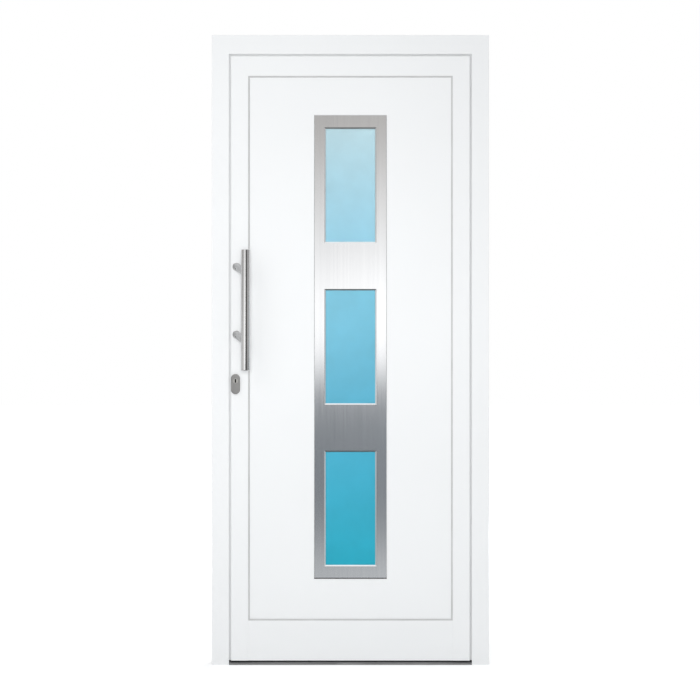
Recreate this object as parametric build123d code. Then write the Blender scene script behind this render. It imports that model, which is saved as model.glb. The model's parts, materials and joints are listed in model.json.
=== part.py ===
"""An aluminium front door that opens inwards, in its frame.

Frame and leaf are thermally broken extrusions: an outer and an inner aluminium shell, each a hollow
chamber, held apart by polyamide bars. The leaf carries a sandwich panel with three windows in a row,
set in one pressed steel trim on each face, a slanted pull bar outside and a lever inside.

Frame of the part: X runs along the width, from the lock side to the hinge side as seen from outside.
Y runs through the depth, from outside to inside, and Z runs up. The origin lies on the floor, at the
middle of the threshold. Depths are counted inwards from the outer face, and lengths are millimetres.
"""

import math
import os

from build123d import *

# Frame
FRAME_WIDTH = 924.0
FRAME_HEIGHT = 2100.0
FRAME_DEPTH = 75.0
JAMB_FACE = 57.0
HEAD_FACE = 63.0
REBATE_WIDTH = 20.0
STOP_THICKNESS = 4.5

# Aluminium shells and the polyamide bars between them
SHELL_DEPTH = 25.5
SHELL_WALL = 2.0
EDGE_RADIUS = 1.0
BREAK_THICKNESS = 2.5
GROOVE_DEPTH = 3.0
BREAK_END_GAP = 0.25

# Running gaps between the frame and the leaf
FACE_GAP = 7.0
REBATE_GAP = 9.0
STOP_GAP = 6.5
FLOOR_GAP = 5.5

# Leaf
STILE_FACE = 57.0
TOP_RAIL_FACE = 66.0
BOTTOM_RAIL_FACE = 133.5
PANEL_REBATE = 22.0
LIP_THICKNESS = 3.0

# Seals
STOP_SEAL_WIDTH = 12.0
STOP_SEAL_THICKNESS = 1.5
PANEL_SEAL_SIGHT = 5.0
PANEL_SEAL_THICKNESS = 2.0
PANEL_SEAL_RISE = 2.0
PANEL_SEAL_BEVEL = 1.8

# Sandwich panel
PANEL_THICKNESS = 42.0
SKIN_THICKNESS = 2.0
PANEL_EDGE_GAP = 5.0

# Steel trim and its windows
TRIM_BOTTOM_MARGIN = 139.0
TRIM_TOP_MARGIN = 130.0
TRIM_SIDE_BORDER = 34.0
TRIM_END_BORDER = 41.5
TRIM_BAND = 153.0
TRIM_THICKNESS = 3.0
TRIM_EDGE_BEVEL = 1.8
WINDOW_NAMES = ("bottom", "middle", "top")
WINDOW_WIDTH = 174.0
WINDOW_DEPTH = 5.0
WINDOW_SLOPE = 4.5
WINDOW_SLOPE_DEPTH = 3.6
RETURN_WALL = 1.0
WINDOW_FIT = 0.5

# Insulating glass
PANE_THICKNESS = 6.0
GLASS_LAP = 10.0
GLASS_FIT = 1.0
SPACER_INSET = 1.0
SPACER_WIDTH = 7.0

# Glazing beads, on the inside
BEAD_WIDTH = 24.0
BEAD_BEVEL = 8.0
BEAD_WALL = 1.6

# Threshold
THRESHOLD_HEIGHT = 9.0
THRESHOLD_NOSE = 24.0
THRESHOLD_BEVEL = 3.0
THRESHOLD_CORE_DROP = 0.5
TREAD_GROOVES = 4
TREAD_GROOVE_WIDTH = 1.5
TREAD_GROOVE_DEPTH = 0.8

# Pull bar
BAR_RADIUS = 15.0
BAR_LENGTH = 400.0
BAR_RISE = 35.0
BAR_END_BEVEL = 1.5
BAR_STANDOFF = 62.0
BAR_OFFSET = 33.5
SUPPORT_RADIUS = 12.0
SUPPORT_DROP = 24.0
SUPPORT_INSET = 18.5
SUPPORT_LOWER_DISTANCE = 95.0
SUPPORT_UPPER_DISTANCE = 79.0
FOOT_RADIUS = 13.5
FOOT_THICKNESS = 3.5

# Lock and lever
LOCK_INSET = 15.0
PLUG_HEIGHT = 947.0
PLUG_RADIUS = 8.5
PLUG_RECESS = 1.5
CYLINDER_WEB = 10.0
CYLINDER_HEIGHT = 33.0
LOCK_FIT = 0.3
KEYWAY_WIDTH = 4.5
KEYWAY_HEIGHT = 12.5
KEYWAY_DEPTH = 14.0
FITTING_WIDTH = 29.5
FITTING_THICKNESS = 9.0
FITTING_BEVEL = 2.0
ROSETTE_LENGTH = 67.0
ROSETTE_DROP = 10.5
LEVER_PLATE_LENGTH = 245.0
LEVER_PLATE_RISE = 60.0
LEVER_RISE = 92.0
LEVER_RADIUS = 9.5
LEVER_STANDOFF = 52.0
LEVER_LENGTH = 122.0
LEVER_END_BEVEL = 1.5

# Lock plates: the faceplate on the leaf and the strike on the frame
PLATE_BOTTOM_MARGIN = 235.5
PLATE_TOP_MARGIN = 238.0
BOLT_END_DISTANCE = 170.0
BOLT_RISE = 18.0
BOLT_LENGTH = 36.0
BOLT_WIDTH = 16.0
LATCH_LENGTH = 28.0
BOLT_FIT = 0.3
STRIKE_SLACK = 3.0

# Barrel hinges, on the inside
HINGE_NAMES = ("lower", "middle", "upper")
HINGE_BOTTOM_MARGIN = 155.5
HINGE_TOP_MARGIN = 158.0
HINGE_LENGTH = 120.0
HINGE_AXIS_STANDOFF = 12.0
KNUCKLE_RADIUS = 10.0
MIDDLE_KNUCKLE = 48.0
KNUCKLE_GAP = 1.0
PIN_RADIUS = 5.0
PIN_FIT = 0.08
KNUCKLE_CAP = 3.0
HINGE_PLATE_THICKNESS = 5.0
HINGE_PLATE_NEAR = 12.5
HINGE_PLATE_FAR = 36.5
HINGE_ARM_REACH = 18.0
HINGE_ARM_WIDTH = 9.0
HINGE_PLATE_BEVEL = 1.2

# Holes for the frame screws
FIXING_RADIUS = 4.0
FIXING_COUNT = 4
FIXING_BOTTOM_DISTANCE = 200.0
FIXING_TOP_DISTANCE = 220.0

# Depths, counted from the outer face
SHELL_BACK = FRAME_DEPTH - SHELL_DEPTH
FLANGE_FRONT = STOP_THICKNESS + STOP_GAP
PANEL_FRONT = LIP_THICKNESS + PANEL_SEAL_THICKNESS
PANEL_BACK = PANEL_FRONT + PANEL_THICKNESS
TRIM_FRONT = PANEL_FRONT - TRIM_THICKNESS
GLASS_FRONT = TRIM_FRONT + WINDOW_DEPTH
GLASS_BACK = PANEL_FRONT + PANEL_BACK - GLASS_FRONT
CAVITY = (GLASS_BACK - GLASS_FRONT - 3 * PANE_THICKNESS) / 2

# Places of the frame's edges: the stop that shows, and the rebate behind it
STOP_X = FRAME_WIDTH / 2 - JAMB_FACE
STOP_Z = FRAME_HEIGHT - HEAD_FACE
REBATE_X = STOP_X + REBATE_WIDTH

# Places of the leaf's edges: its face, its flange behind the stop, its panel rebate and its lip
LEAF_X = STOP_X - FACE_GAP
LEAF_TOP = STOP_Z - FACE_GAP
LEAF_BOTTOM = THRESHOLD_HEIGHT + FLOOR_GAP
FLANGE_WIDTH = REBATE_WIDTH + FACE_GAP - REBATE_GAP
FLANGE_X = LEAF_X + FLANGE_WIDTH
FLANGE_TOP = LEAF_TOP + FLANGE_WIDTH
LIP_X = LEAF_X - STILE_FACE
LIP_TOP = LEAF_TOP - TOP_RAIL_FACE
LIP_BOTTOM = LEAF_BOTTOM + BOTTOM_RAIL_FACE
SEAT_X = LIP_X + PANEL_REBATE
SEAT_TOP = LIP_TOP + PANEL_REBATE
SEAT_BOTTOM = LIP_BOTTOM - PANEL_REBATE

# Sandwich panel and trim, from edge to edge
PANEL_X = SEAT_X - PANEL_EDGE_GAP
PANEL_TOP = SEAT_TOP - PANEL_EDGE_GAP
PANEL_BOTTOM = SEAT_BOTTOM + PANEL_EDGE_GAP
TRIM_X = WINDOW_WIDTH / 2 + TRIM_SIDE_BORDER
TRIM_BOTTOM = LIP_BOTTOM + TRIM_BOTTOM_MARGIN
TRIM_TOP = LIP_TOP - TRIM_TOP_MARGIN
TRIM_BANDS = (len(WINDOW_NAMES) - 1) * TRIM_BAND
WINDOW_HEIGHT = (TRIM_TOP - TRIM_BOTTOM - 2 * TRIM_END_BORDER - TRIM_BANDS) / len(WINDOW_NAMES)
WINDOW_MIDDLES = [
    TRIM_BOTTOM + TRIM_END_BORDER + WINDOW_HEIGHT / 2 + number * (WINDOW_HEIGHT + TRIM_BAND)
    for number in range(len(WINDOW_NAMES))
]
GLASS_WIDTH = WINDOW_WIDTH - 2 * WINDOW_SLOPE + 2 * GLASS_LAP
GLASS_HEIGHT = WINDOW_HEIGHT - 2 * WINDOW_SLOPE + 2 * GLASS_LAP

# Lock side fittings
LOCK_X = -LEAF_X + LOCK_INSET
LEVER_HEIGHT = PLUG_HEIGHT + LEVER_RISE
BAR_BOTTOM = PLUG_HEIGHT + BAR_RISE
PLATE_BOTTOM = LEAF_BOTTOM + PLATE_BOTTOM_MARGIN
PLATE_TOP = FLANGE_TOP - PLATE_TOP_MARGIN
BOLT_HEIGHTS = (PLATE_BOTTOM + BOLT_END_DISTANCE, PLUG_HEIGHT + BOLT_RISE, PLATE_TOP - BOLT_END_DISTANCE)

# Hinge axis, and the heights of the hinges' feet
HINGE_X = (REBATE_X + FLANGE_X) / 2
HINGE_LOWEST = LEAF_BOTTOM + HINGE_BOTTOM_MARGIN
HINGE_HIGHEST = FLANGE_TOP - HINGE_TOP_MARGIN - HINGE_LENGTH
HINGE_STEP = (HINGE_HIGHEST - HINGE_LOWEST) / (len(HINGE_NAMES) - 1)
HINGE_FEET = [HINGE_LOWEST + number * HINGE_STEP for number in range(len(HINGE_NAMES))]

# Heights of the frame screws
FIXING_STEP = (FRAME_HEIGHT - FIXING_TOP_DISTANCE - FIXING_BOTTOM_DISTANCE) / (FIXING_COUNT - 1)
FIXING_HEIGHTS = [FIXING_BOTTOM_DISTANCE + number * FIXING_STEP for number in range(FIXING_COUNT)]

# How near two measures of the model have to be to count as the same
SAME = 0.01


def at_depth(depth):
    """The Y of a depth that is counted inwards from the outer face."""
    return depth - FRAME_DEPTH / 2


def rectangle(low, high):
    """A flat rectangle between two corners of a section."""
    middle = ((low[0] + high[0]) / 2, (low[1] + high[1]) / 2)
    return Pos(*middle) * Rectangle(high[0] - low[0], high[1] - low[1])


def block(x, depth, z):
    """A box between two values of X, of depth and of Z."""
    corner = Pos(x[0], at_depth(depth[0]), z[0])
    size = (x[1] - x[0], depth[1] - depth[0], z[1] - z[0])
    return corner * Box(*size, align=(Align.MIN, Align.MIN, Align.MIN))


def other_side(shape):
    """The same shape on the other side of the door's middle."""
    return mirror(shape, about=Plane.YZ)


def upright(x, z):
    """A plane for the section of an upright: section X is X, and section Y is depth."""
    return Plane((x, at_depth(0), z), x_dir=(1, 0, 0), z_dir=(0, 0, 1))


def hanging(x, z):
    """A plane for the section of a rail that is measured downwards and extruded along X."""
    return Plane((x, at_depth(0), z), x_dir=(0, 0, -1), z_dir=(1, 0, 0))


def standing(x, z):
    """A plane for the section of a rail that is measured upwards and extruded against X."""
    return Plane((x, at_depth(0), z), x_dir=(0, 0, 1), z_dir=(-1, 0, 0))


def facing_out(x, depth, z):
    """A plane parallel to the door's face that looks outside."""
    return Plane((x, at_depth(depth), z), x_dir=(1, 0, 0), z_dir=(0, -1, 0))


def facing_in(x, depth, z):
    """A plane parallel to the door's face that looks inside."""
    return Plane((x, at_depth(depth), z), x_dir=(-1, 0, 0), z_dir=(0, 1, 0))


def mitre(x, z, gap=0.0):
    """The mitre plane through an upper corner on the lock side; its top side is the rail's."""
    direction = Vector(1, 0, 1).normalized()
    return Plane(Vector(x, 0, z) + direction * gap, x_dir=(0, 1, 0), z_dir=direction)


def below_mitre(upright_solid, x, z, gap=0.0):
    """An upright on the lock side, cut to its mitre."""
    return split(upright_solid, bisect_by=mitre(x, z, -gap), keep=Keep.BOTTOM)


def between_mitres(rail_solid, x, z, gap=0.0):
    """A rail, cut to the mitres at both its ends."""
    cut = split(rail_solid, bisect_by=mitre(x, z, gap), keep=Keep.TOP)
    return other_side(split(other_side(cut), bisect_by=mitre(x, z, gap), keep=Keep.TOP))


def rounded(section, depth):
    """A shell's section with its corners at one depth rounded, as the edges of extrusions are."""
    return fillet([corner for corner in section.vertices() if abs(corner.Y - depth) < SAME], EDGE_RADIUS)


# Sections of the extrusions, as (shells, chambers, thermal bars)


def frame_section(face):
    """A frame profile, measured from the wall: the outer shell has the stop that the leaf closes behind."""
    body = face - REBATE_WIDTH
    wall = SHELL_WALL
    outer = rectangle((0, 0), (body, SHELL_DEPTH)) + rectangle((body, 0), (face, STOP_THICKNESS))
    outer_chamber = rectangle((wall, wall), (body - wall, SHELL_DEPTH - wall))
    inner = rectangle((0, SHELL_BACK), (body, FRAME_DEPTH))
    inner_chamber = rectangle((wall, SHELL_BACK + wall), (body - wall, FRAME_DEPTH - wall))
    shells = (rounded(outer, 0), rounded(inner, FRAME_DEPTH))
    return shells, (outer_chamber, inner_chamber), thermal_bars(0, body)


def leaf_section(face, flange):
    """A leaf profile, measured from the leaf's edge: a flange behind the stop, and a lip over the panel."""
    seat = face - PANEL_REBATE
    wall = SHELL_WALL
    outer = rectangle((-flange, FLANGE_FRONT), (seat, SHELL_DEPTH)) + rectangle((0, 0), (seat, FLANGE_FRONT))
    outer += rectangle((seat, 0), (face, LIP_THICKNESS))
    outer_chamber = rectangle((wall - flange, FLANGE_FRONT + wall), (seat - wall, SHELL_DEPTH - wall))
    outer_chamber += rectangle((wall, wall), (seat - wall, FLANGE_FRONT + wall))
    inner = rectangle((-flange, SHELL_BACK), (seat, FRAME_DEPTH))
    inner_chamber = rectangle((wall - flange, SHELL_BACK + wall), (seat - wall, FRAME_DEPTH - wall))
    shells = (rounded(outer, 0), rounded(inner, FRAME_DEPTH))
    return shells, (outer_chamber, inner_chamber), thermal_bars(-flange, seat)


def thermal_bars(low, high):
    """Two polyamide bars between the shells, set back from both edges by the groove that they leave."""
    near, far = low + GROOVE_DEPTH, high - GROOVE_DEPTH
    return (
        rectangle((near, SHELL_DEPTH), (near + BREAK_THICKNESS, SHELL_BACK)),
        rectangle((far - BREAK_THICKNESS, SHELL_DEPTH), (far, SHELL_BACK)),
    )


def extrusion(section, plane, length, end_wall=0.0):
    """The two hollow shells of a profile; an end wall closes the chambers where the end shows."""
    shells, chambers, _ = section
    solid = Part() + [extrude(plane * shell, length) for shell in shells]
    inside = plane.offset(end_wall)
    return solid - [extrude(inside * chamber, length - 2 * end_wall) for chamber in chambers]


def bars(section, plane, length):
    """The two polyamide bars of a profile."""
    return Part() + [extrude(plane * bar, length) for bar in section[2]]


# Frame


def jamb():
    """A jamb on the lock side, mitred to the head and drilled through its inner shell for frame screws."""
    section = frame_section(JAMB_FACE)
    solid = extrusion(section, upright(-FRAME_WIDTH / 2, 0), FRAME_HEIGHT)
    drill_depth = at_depth(FRAME_DEPTH - SHELL_DEPTH / 2)
    for height in FIXING_HEIGHTS:
        drill = Plane((-FRAME_WIDTH / 2, drill_depth, height), x_dir=(0, 1, 0), z_dir=(1, 0, 0))
        solid -= extrude(drill * Circle(FIXING_RADIUS), JAMB_FACE - REBATE_WIDTH)
    return below_mitre(solid, -STOP_X, STOP_Z)


def head():
    """The frame's head, mitred at both ends."""
    solid = extrusion(
        frame_section(HEAD_FACE), hanging(-FRAME_WIDTH / 2, FRAME_HEIGHT), FRAME_WIDTH, end_wall=SHELL_WALL
    )
    return between_mitres(solid, -STOP_X, STOP_Z)


def frame_thermal_breaks():
    """The frame's polyamide bars: two in each jamb and two in the head, just clear of each other."""
    upright_bars = bars(frame_section(JAMB_FACE), upright(-FRAME_WIDTH / 2, 0), FRAME_HEIGHT)
    upright_bars = below_mitre(upright_bars, -STOP_X, STOP_Z, BREAK_END_GAP)
    head_bars = bars(frame_section(HEAD_FACE), hanging(-FRAME_WIDTH / 2, FRAME_HEIGHT), FRAME_WIDTH)
    head_bars = between_mitres(head_bars, -STOP_X, STOP_Z, BREAK_END_GAP)
    return Part() + [*upright_bars.solids(), *other_side(upright_bars).solids(), *head_bars.solids()]


def frame_seal():
    """The seal on the back of the stop, up both jambs and across the head."""
    margin = (REBATE_WIDTH - STOP_SEAL_WIDTH) / 2
    inside = STOP_X + margin
    outside = inside + STOP_SEAL_WIDTH
    depth = (STOP_THICKNESS, STOP_THICKNESS + STOP_SEAL_THICKNESS)
    low, high = THRESHOLD_HEIGHT, STOP_Z + margin
    around = block((-outside, outside), depth, (low, high + STOP_SEAL_WIDTH))
    return around - block((-inside, inside), depth, (low, high))


def threshold_profile(points):
    """A length of threshold between the jambs, notched round their stops, from (depth, height) points."""
    section = Plane((-REBATE_X, at_depth(0), 0), x_dir=(0, 1, 0), z_dir=(1, 0, 0)) * make_face(
        Polyline(*points, close=True)
    )
    solid = extrude(section, 2 * REBATE_X)
    for side in (-1, 1):
        ends = sorted((side * STOP_X, side * REBATE_X))
        solid -= block(ends, (0, STOP_THICKNESS), (0, THRESHOLD_HEIGHT))
    return solid


def threshold_nose():
    """The outer aluminium length of the threshold, with tread grooves along it."""
    height, bevel, end = THRESHOLD_HEIGHT, THRESHOLD_BEVEL, THRESHOLD_NOSE
    solid = threshold_profile([(0, 0), (end, 0), (end, height), (bevel, height), (0, height - bevel)])
    pitch = (end - STOP_THICKNESS) / TREAD_GROOVES
    for number in range(TREAD_GROOVES):
        start = STOP_THICKNESS + pitch * (number + 0.5) - TREAD_GROOVE_WIDTH / 2
        solid -= block(
            (-REBATE_X, REBATE_X), (start, start + TREAD_GROOVE_WIDTH), (height - TREAD_GROOVE_DEPTH, height)
        )
    return solid


def threshold_core():
    """The plastic middle of the threshold, which keeps the two aluminium lengths apart."""
    near, far = THRESHOLD_NOSE, FRAME_DEPTH - THRESHOLD_NOSE
    height = THRESHOLD_HEIGHT - THRESHOLD_CORE_DROP
    return threshold_profile([(near, 0), (far, 0), (far, height), (near, height)])


def threshold_heel():
    """The inner aluminium length of the threshold."""
    height, bevel = THRESHOLD_HEIGHT, THRESHOLD_BEVEL
    near, far = FRAME_DEPTH - THRESHOLD_NOSE, FRAME_DEPTH
    bevelled = [(far, height - bevel), (far - bevel, height)]
    return threshold_profile([(near, 0), (far, 0), *bevelled, (near, height)])


def bolt_spans():
    """The middle height and the length of the latch, level with the lever, and of each bolt."""
    return [(LEVER_HEIGHT, LATCH_LENGTH), *((height, BOLT_LENGTH) for height in BOLT_HEIGHTS)]


def bolt_block(edge_x, thickness, middle, length, slack):
    """A block for one bolt, in the middle of the depth, that reaches from an edge towards the hinges."""
    half, rise = BOLT_WIDTH / 2 + slack, length / 2 + slack
    depth = (FRAME_DEPTH / 2 - half, FRAME_DEPTH / 2 + half)
    return block((edge_x, edge_x + thickness), depth, (middle - rise, middle + rise))


def lock_plate(edge_x, slack):
    """A steel plate in the groove between two shells, with a slot for the latch and for each bolt."""
    solid = block((edge_x, edge_x + GROOVE_DEPTH), (SHELL_DEPTH, SHELL_BACK), (PLATE_BOTTOM, PLATE_TOP))
    return solid - [bolt_block(edge_x, GROOVE_DEPTH, *span, slack) for span in bolt_spans()]


# Leaf


def stile():
    """The stile on the lock side, mitred to the top rail."""
    section = leaf_section(STILE_FACE, FLANGE_WIDTH)
    solid = extrusion(section, upright(-LEAF_X, LEAF_BOTTOM), FLANGE_TOP - LEAF_BOTTOM)
    return below_mitre(solid, -LIP_X, LIP_TOP)


def lock_stile():
    """The lock stile: its two faces are cut to the cylinder's outline, and the walls between squarely."""
    side, drop = PLUG_RADIUS + LOCK_FIT, CYLINDER_HEIGHT - PLUG_RADIUS + LOCK_FIT
    pocket = block(
        (LOCK_X - side, LOCK_X + side),
        (SHELL_WALL, FRAME_DEPTH - SHELL_WALL),
        (PLUG_HEIGHT - drop, PLUG_HEIGHT + side),
    )
    outline = cylinder_section(LOCK_FIT)
    cuts = [
        extrude(facing_in(LOCK_X, depth, PLUG_HEIGHT) * outline, SHELL_WALL)
        for depth in (0, FRAME_DEPTH - SHELL_WALL)
    ]
    return stile() - [pocket, *cuts]


def top_rail():
    """The top rail, mitred at both ends, with its ends stepped as the leaf's edge is."""
    solid = extrusion(
        leaf_section(TOP_RAIL_FACE, FLANGE_WIDTH),
        hanging(-FLANGE_X, LEAF_TOP),
        2 * FLANGE_X,
        end_wall=FLANGE_WIDTH + SHELL_WALL,
    )
    solid = between_mitres(solid, -LIP_X, LIP_TOP)
    corner = block((LEAF_X, FLANGE_X), (0, FLANGE_FRONT), (LIP_TOP, FLANGE_TOP))
    return solid - corner - other_side(corner)


def bottom_rail():
    """The deep bottom rail, butted between the stiles and coped under their lips."""
    solid = extrusion(leaf_section(BOTTOM_RAIL_FACE, 0), standing(SEAT_X, LEAF_BOTTOM), 2 * SEAT_X)
    cope = block((LIP_X, SEAT_X), (0, LIP_THICKNESS), (LEAF_BOTTOM, LIP_BOTTOM))
    return solid - cope - other_side(cope)


def leaf_thermal_breaks():
    """The leaf's polyamide bars: two in each stile and rail, just clear of each other."""
    stile_bars = bars(
        leaf_section(STILE_FACE, FLANGE_WIDTH), upright(-LEAF_X, LEAF_BOTTOM), FLANGE_TOP - LEAF_BOTTOM
    )
    stile_bars = below_mitre(stile_bars, -LIP_X, LIP_TOP, BREAK_END_GAP)
    top_bars = bars(leaf_section(TOP_RAIL_FACE, FLANGE_WIDTH), hanging(-FLANGE_X, LEAF_TOP), 2 * FLANGE_X)
    top_bars = between_mitres(top_bars, -LIP_X, LIP_TOP, BREAK_END_GAP)
    bottom_bars = bars(leaf_section(BOTTOM_RAIL_FACE, 0), standing(SEAT_X, LEAF_BOTTOM), 2 * SEAT_X)
    groups = (stile_bars, other_side(stile_bars), top_bars, bottom_bars)
    return Part() + [bar for group in groups for bar in group.solids()]


def bottom_seal():
    """The drop seal in the groove under the bottom rail."""
    return block((-SEAT_X, SEAT_X), (SHELL_DEPTH, SHELL_BACK), (LEAF_BOTTOM, LEAF_BOTTOM + GROOVE_DEPTH))


def panel_seal():
    """The seal between the lip and the panel, with a sloped bead that shows round the panel."""
    sight_x = LIP_X - PANEL_SEAL_SIGHT
    sight_z = (LIP_BOTTOM + PANEL_SEAL_SIGHT, LIP_TOP - PANEL_SEAL_SIGHT)
    under_lip = block((-PANEL_X, PANEL_X), (LIP_THICKNESS, PANEL_FRONT), (PANEL_BOTTOM, PANEL_TOP))
    rise = (LIP_THICKNESS - PANEL_SEAL_RISE, PANEL_FRONT)
    bead = block((-LIP_X, LIP_X), rise, (LIP_BOTTOM, LIP_TOP))
    solid = under_lip + bead - block((-sight_x, sight_x), rise, sight_z)
    front = solid.edges().filter_by_position(Axis.Y, at_depth(rise[0]), at_depth(rise[0]))
    inside = [
        edge for edge in front if abs(edge.center().X) < sight_x + SAME and in_span(edge.center().Z, sight_z)
    ]
    return chamfer(inside, PANEL_SEAL_BEVEL)


def in_span(value, span):
    """Whether a value lies between two others, ends included."""
    return span[0] - SAME < value < span[1] + SAME


def window_holes(depth, grow):
    """Blocks that cut the three windows through a sheet, each larger all round than the trim's window."""
    half = WINDOW_WIDTH / 2 + grow
    return [
        block((-half, half), depth, (middle - WINDOW_HEIGHT / 2 - grow, middle + WINDOW_HEIGHT / 2 + grow))
        for middle in WINDOW_MIDDLES
    ]


def panel_layer(depth, grow):
    """One layer of the sandwich panel, from edge to edge, with its window holes."""
    return block((-PANEL_X, PANEL_X), depth, (PANEL_BOTTOM, PANEL_TOP)) - window_holes(depth, grow)


def outer_skin():
    """The outer aluminium sheet of the panel."""
    return panel_layer((PANEL_FRONT, PANEL_FRONT + SKIN_THICKNESS), RETURN_WALL + WINDOW_FIT)


def inner_skin():
    """The inner aluminium sheet of the panel."""
    return panel_layer((PANEL_BACK - SKIN_THICKNESS, PANEL_BACK), RETURN_WALL + WINDOW_FIT)


def panel_core():
    """The foam between the two sheets, with a pocket for each glass unit."""
    grow = GLASS_LAP - WINDOW_SLOPE + GLASS_FIT
    return panel_layer((PANEL_FRONT + SKIN_THICKNESS, PANEL_BACK - SKIN_THICKNESS), grow)


def outer_trim():
    """The pressed steel trim: a bevelled plate whose windows slope back to short returns on the glass."""
    plate = block((-TRIM_X, TRIM_X), (TRIM_FRONT, PANEL_FRONT), (TRIM_BOTTOM, TRIM_TOP))
    front = plate.faces().sort_by(Axis.Y)[0]
    solid = chamfer(front.edges(), TRIM_EDGE_BEVEL)
    solid += window_holes((PANEL_FRONT, GLASS_FRONT), RETURN_WALL)
    taper = math.degrees(math.atan2(WINDOW_SLOPE, WINDOW_SLOPE_DEPTH))
    for middle in WINDOW_MIDDLES:
        mouth = facing_in(0, TRIM_FRONT, middle) * Rectangle(WINDOW_WIDTH, WINDOW_HEIGHT)
        solid -= extrude(mouth, WINDOW_SLOPE_DEPTH, taper=taper)
    return solid - window_holes((TRIM_FRONT, GLASS_FRONT), -WINDOW_SLOPE)


def inner_trim():
    """The same trim on the panel's inner face."""
    middle = at_depth((PANEL_FRONT + PANEL_BACK) / 2)
    return mirror(outer_trim(), about=Plane((0, middle, 0), z_dir=(0, 1, 0)))


def pane(middle, front):
    """One sheet of glass of a window's unit."""
    half, rise = GLASS_WIDTH / 2, GLASS_HEIGHT / 2
    return block((-half, half), (front, front + PANE_THICKNESS), (middle - rise, middle + rise))


def rear_panes():
    """The middle and inner sheets of all three windows."""
    fronts = (GLASS_FRONT + PANE_THICKNESS + CAVITY, GLASS_BACK - PANE_THICKNESS)
    return Part() + [pane(middle, front) for middle in WINDOW_MIDDLES for front in fronts]


def spacers():
    """The aluminium spacer frames between the sheets, two in each window."""
    solids = []
    for middle in WINDOW_MIDDLES:
        for front in (GLASS_FRONT + PANE_THICKNESS, GLASS_BACK - PANE_THICKNESS - CAVITY):
            depth = (front, front + CAVITY)
            half, rise = GLASS_WIDTH / 2 - SPACER_INSET, GLASS_HEIGHT / 2 - SPACER_INSET
            around = block((-half, half), depth, (middle - rise, middle + rise))
            half, rise = half - SPACER_WIDTH, rise - SPACER_WIDTH
            solids.append(around - block((-half, half), depth, (middle - rise, middle + rise)))
    return Part() + solids


def bead_section():
    """A hollow glazing bead, measured from its seat, with a bevel towards the room."""
    outline = rectangle((0, PANEL_BACK), (BEAD_WIDTH, FRAME_DEPTH))
    room_corner = outline.vertices().sort_by(Axis.X)[-2:].sort_by(Axis.Y)[-1]
    outline = chamfer(room_corner, BEAD_BEVEL)
    return outline - offset(outline, -BEAD_WALL, kind=Kind.INTERSECTION)


def upside_down(shape):
    """The same shape mirrored about the middle height of the panel's seat."""
    return mirror(shape, about=Plane((0, 0, (SEAT_BOTTOM + SEAT_TOP) / 2), z_dir=(0, 0, 1)))


def side_bead():
    """The bead on the lock stile, mitred at both ends."""
    solid = extrude(upright(-SEAT_X, SEAT_BOTTOM) * bead_section(), SEAT_TOP - SEAT_BOTTOM)
    solid = below_mitre(solid, -SEAT_X, SEAT_TOP)
    return below_mitre(upside_down(solid), -SEAT_X, SEAT_TOP)


def top_bead():
    """The bead under the top rail, mitred at both ends."""
    solid = extrude(hanging(-SEAT_X, SEAT_TOP) * bead_section(), 2 * SEAT_X)
    return between_mitres(solid, -SEAT_X, SEAT_TOP)


def bottom_bead():
    """The bead on the bottom rail, like the top one."""
    return upside_down(top_bead())


# Pull bar


def pull_bar():
    """The round pull bar, with bevelled ends."""
    place = Pos(-LEAF_X + SUPPORT_INSET + BAR_OFFSET, at_depth(-BAR_STANDOFF), BAR_BOTTOM)
    solid = place * Cylinder(BAR_RADIUS, BAR_LENGTH, align=(Align.CENTER, Align.CENTER, Align.MIN))
    return chamfer(solid.edges().filter_by(GeomType.CIRCLE), BAR_END_BEVEL)


def bar_support(height):
    """A slanted support, from a foot on the stile to the bar, which it meets at this height."""
    root = Vector(-LEAF_X + SUPPORT_INSET, at_depth(0), height + SUPPORT_DROP)
    tip = Vector(root.X + BAR_OFFSET, at_depth(-BAR_STANDOFF), height)
    along = tip - root
    start = root - along * (SUPPORT_RADIUS / BAR_STANDOFF)
    rod = extrude(Plane(start, z_dir=along) * Circle(SUPPORT_RADIUS), (tip - start).length)
    rod = split(rod, bisect_by=facing_out(0, 0, 0), keep=Keep.TOP)
    foot = extrude(facing_out(root.X, 0, root.Z) * Circle(FOOT_RADIUS), FOOT_THICKNESS)
    bar_path = Pos(tip.X, tip.Y, BAR_BOTTOM) * Cylinder(
        BAR_RADIUS, BAR_LENGTH, align=(Align.CENTER, Align.CENTER, Align.MIN)
    )
    return rod + foot - bar_path


def bar_supports():
    """The two supports, each at its distance from an end of the bar."""
    low = BAR_BOTTOM + SUPPORT_LOWER_DISTANCE
    high = BAR_BOTTOM + BAR_LENGTH - SUPPORT_UPPER_DISTANCE
    return Part() + [bar_support(height) for height in (low, high)]


# Lock and lever


def cylinder_section(fit):
    """The keyhole-shaped section of a lock cylinder, about its plug."""
    end = CYLINDER_WEB / 2 + fit
    drop = CYLINDER_HEIGHT - PLUG_RADIUS - CYLINDER_WEB / 2
    web = rectangle((-end, -drop), (end, 0))
    return Circle(PLUG_RADIUS + fit) + web + Pos(0, -drop) * Circle(end)


def lock_cylinder():
    """The lock cylinder through the stile, with a plug and a keyway at each end."""
    solid = extrude(facing_in(LOCK_X, 0, PLUG_HEIGHT) * cylinder_section(0), FRAME_DEPTH)
    reach = FITTING_THICKNESS - PLUG_RECESS
    for plane in (facing_out(LOCK_X, 0, PLUG_HEIGHT), facing_in(LOCK_X, FRAME_DEPTH, PLUG_HEIGHT)):
        solid += extrude(plane * Circle(PLUG_RADIUS), reach)
        keyway = plane.offset(reach) * Rectangle(KEYWAY_WIDTH, KEYWAY_HEIGHT)
        solid -= extrude(keyway, -KEYWAY_DEPTH)
    return solid


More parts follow.
